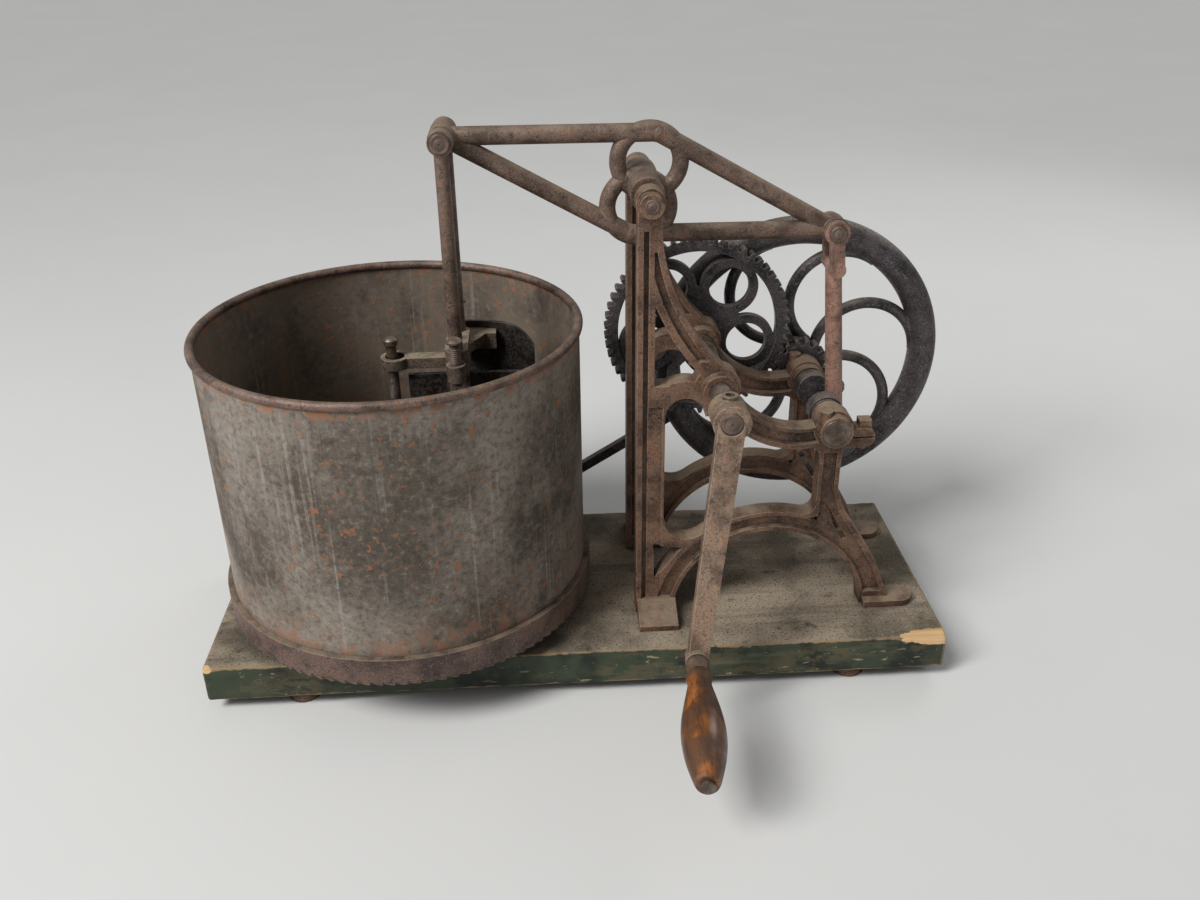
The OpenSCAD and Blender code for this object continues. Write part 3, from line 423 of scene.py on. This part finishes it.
def worn_board():
    """The board with rounded, chipped edges: rings of its cross-section run along its length."""
    low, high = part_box("base_board")
    length = high.x - low.x
    round_off = 2.4 * MM
    inset = 6 * MM
    least_worn = 1.2 * MM
    lump_depth = 2.4 * MM
    flatness = 0.7
    cuts = 160
    ends = [0.0, 0.5 * MM, 1.2 * MM, round_off]
    spots = ends + [length * i / cuts for i in range(1, cuts)] + [length - e for e in reversed(ends)]
    # Chips of the front top edge: place along the board, spread and depth
    chips = [(length - 8 * MM, 27 * MM, 5.5 * MM), (4 * MM, 9 * MM, 2 * MM)]
    rings, wear, edge = [], [], []
    for spot in spots:
        x = low.x + spot
        near = min(spot, length - spot)
        pull = round_off - math.sqrt(max(0.0, round_off ** 2 - max(0.0, round_off - near) ** 2))
        ring = []
        for k, (sy, sz) in enumerate(((-1, -1), (1, -1), (1, 1), (-1, 1))):
            # Coarse and fine unevenness along the board, different for each edge
            lump = noise.noise(Vector((x * 45, k * 7.3, 0.4)))
            lump += 0.6 * noise.noise(Vector((x * 160, k * 3.1, 2.2)))
            gone = least_worn + lump_depth * max(0.0, lump)
            if (sy, sz) == (-1, 1):
                for place, spread, depth in chips:
                    gone += depth * math.exp(-((spot - place) / spread) ** 2)
            y0 = (high.y if sy > 0 else low.y) - sy * (gone + pull)
            z0 = (high.z if sz > 0 else low.z) - sz * (gone * flatness + pull)
            start = math.atan2(sz, sy) - math.pi / 4
            arc = [(y0 + gone * math.cos(t), z0 + gone * flatness * math.sin(t))
                   for t in (start + math.pi / 8 * i for i in range(5))]
            before = (arc[0][0] + inset * math.sin(start), arc[0][1] - inset * math.cos(start))
            after = (arc[4][0] - inset * math.cos(start), arc[4][1] - inset * math.sin(start))
            ring += [Vector((x, y, z)) for y, z in [before, *arc, after]]
            bare = min(1.0, max(0.0, (gone - 2.1 * MM) / (4 * MM))) if near > 0 else 0.0
            wear += [0.0] + [bare] * 5 + [0.0]
            turned = 1.0 if 0 < near < round_off else 0.0
            edge += [turned] + [1.0 if near > 0 else 0.0] * 5 + [turned]
        rings.append(ring)
    board = shape("worn_board", *bridged(rings), "board_paint", "base", "painted_board")
    for name, values in (("wear", wear), ("edge", edge)):
        board.data.attributes.new(name, "FLOAT", "POINT").data.foreach_set("value", values)
    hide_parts("base_board")
    return board


def drum_seam():
    """Lapped seam of the drum's sheet at its left, with a row of rivets."""
    centre = JOINTS["drum_spin"]
    low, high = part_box("drum_wall")
    reach = (high.x - low.x) / 2
    seam_turn = math.radians(172)
    lap = 0.9 * MM
    root = reach - 0.3 * MM
    foot, top = low.z + 20 * MM, high.z - 3.4 * MM
    spread = 7 * MM / reach
    rings = []
    for i in range(9):
        turn = seam_turn + spread * (i / 4 - 1)
        out = reach + (lap if 0 < i < 8 else 0.05 * MM)
        ray = Vector((math.cos(turn), math.sin(turn), 0))
        rings.append([centre + ray * r + Vector((0, 0, z - centre.z))
                      for r, z in ((root, foot), (out, foot), (out, top), (root, top))])
    shape("drum_seam", *bridged(rings), "drum_tin", "drum", "rusted_tin", smooth=False)
    ray = Vector((math.cos(seam_turn), math.sin(seam_turn), 0))
    rivet_pitch = 36 * MM
    dome = [(3.2 * MM, 0), (3 * MM, 0.8 * MM), (2 * MM, 1.6 * MM), (0.4 * MM, 2 * MM)]
    for i in range(6):
        at = Vector((centre.x, centre.y, low.z + rivet_pitch * (i + 1))) + ray * (reach + lap - 0.1 * MM)
        lathe(f"seam_rivet_{i + 1}", at, ray, dome, "rim_iron", "drum", "rim_tin", 20)


def bolt_threads():
    """Threaded necks under the round heads of the crosshead's bolts."""
    low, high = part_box("knife_bolts")
    mid = (low.x + high.x) / 2
    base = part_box("crosshead")[1].z
    head = 6.5 * MM
    foot = base - 7 * MM
    pitch = 1.6 * MM
    core, crest = 4.1 * MM, 4.75 * MM
    bolts = [("front", low.y + head, high.z - 18 * MM), ("rear", high.y - head, high.z - 8 * MM)]
    for name, y, top in bolts:
        ridges = [(4.02 * MM, 0)]
        for i in range(int((top - foot) / pitch)):
            start = pitch * i
            ridges += [(core, start), (crest, start + 0.5 * MM)]
            ridges += [(crest, start + 0.8 * MM), (core, start + 1.3 * MM)]
        at = (mid, y, foot)
        lathe(f"bolt_thread_{name}", at, (0, 0, 1), ridges, "pin_steel", "knife", "worn_steel", 28)


def shaft_ends():
    """The ends of the shafts and pins that show, and the riveted end of the grip's spindle."""
    at = face_of("main_shaft", "crank_spin", FRONT)
    shaft_end("crank_shaft_end", at, 8.4 * MM, FRONT, "crank")
    at = face_of("front_throw", "throw_spin", FRONT)
    shaft_end("throw_shaft_end", at, 11.5 * MM, FRONT, "throw_half", "shaft_steel")
    for side, word in ((FRONT, "front"), (REAR, "rear")):
        at = face_of("pivot_shaft", "beam_rock", side)
        shaft_end(f"pivot_end_{word}", at, 5.4 * MM, side, "base")
        at = face_of("knife_hinge_pin", "knife_swing", side)
        shaft_end(f"knife_pin_end_{word}", at, 7.2 * MM, side, "beam")
        at = face_of("pitman_hinge_pin", "pitman_swing", side)
        shaft_end(f"pitman_pin_end_{word}", at, 6.4 * MM, side, "beam")
    spindle = next(j for j in frame["joints"] if j["name"] == "grip_spin")
    along = Vector(spindle["axis"]).normalized()
    reach = (JOINTS["grip_spin"].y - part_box("grip_spindle")[0].y) / along.y - 1.6 * MM
    shaft_end("grip_rivet", JOINTS["grip_spin"] - along * reach, 5.2 * MM, -along, "crank")


worn_board()
drum_seam()
bolt_threads()
shaft_ends()


# Stage, light and camera

def floor(half=20):
    """Pale paper floor, wide enough to reach the horizon, with its half width in metres."""
    corners = [(-half, -half, 0), (half, -half, 0), (half, half, 0), (-half, half, 0)]
    mesh = bpy.data.meshes.new("floor")
    mesh.from_pydata(corners, [], [(0, 1, 2, 3)])
    made = bpy.data.objects.new("floor", mesh)
    bpy.context.scene.collection.objects.link(made)
    s = Surface("floor_paper")
    tone = s.blend(srgb(206, 206, 204), srgb(214, 213, 210), s.noise(3, 3))
    mesh.materials.append(s.finish(tone, 0.85, [(s.noise(400, 2), 0.05 * MM)]))


def lamp(name, kind, energy, place, target, size):
    """A lamp aimed at a target: size is its width in metres, or the angle of a sun."""
    light = bpy.data.lights.new(name, kind)
    light.energy = energy
    if kind == "AREA":
        light.size = size
    else:
        light.angle = size
    made = bpy.data.objects.new(name, light)
    made.location = place
    made.rotation_euler = (Vector(target) - Vector(place)).to_track_quat("-Z", "Y").to_euler()
    bpy.context.scene.collection.objects.link(made)


def camera():
    """The camera at the photograph's place and angle."""
    lens = bpy.data.cameras.new("camera")
    lens.sensor_width = 36
    lens.lens = 33.04
    lens.clip_start = 0.01
    made = bpy.data.objects.new("camera", lens)
    bpy.context.scene.collection.objects.link(made)
    pitch, yaw, roll = (math.radians(v) for v in (27.914, 3.032, -0.71))
    aim = Matrix.Rotation(-yaw, 4, "Z") @ Matrix.Rotation(math.pi / 2 - pitch, 4, "X")
    turn = aim @ Matrix.Rotation(roll, 4, "Z")
    place = (-0.03640, -0.76616, 0.61604)
    made.matrix_world = Matrix.Translation(place) @ turn
    bpy.context.scene.camera = made


floor()
middle = (0.0, 0.05, 0.2)
lamp("key", "AREA", 26, (-1.45, -1.0, 1.55), middle, 0.6)
lamp("sky", "SUN", 1.6, (-0.9, -0.7, 1.4), (0, 0, 0), 0.35)
lamp("rim", "AREA", 4, (1.2, 1.1, 1.1), middle, 0.6)
world = bpy.data.worlds.new("studio")
world.use_nodes = True
world.node_tree.nodes["Background"].inputs[0].default_value = srgb(226, 228, 230)
world.node_tree.nodes["Background"].inputs[1].default_value = 0.36
bpy.context.scene.world = world
bpy.context.scene.view_settings.view_transform = "Standard"
camera()
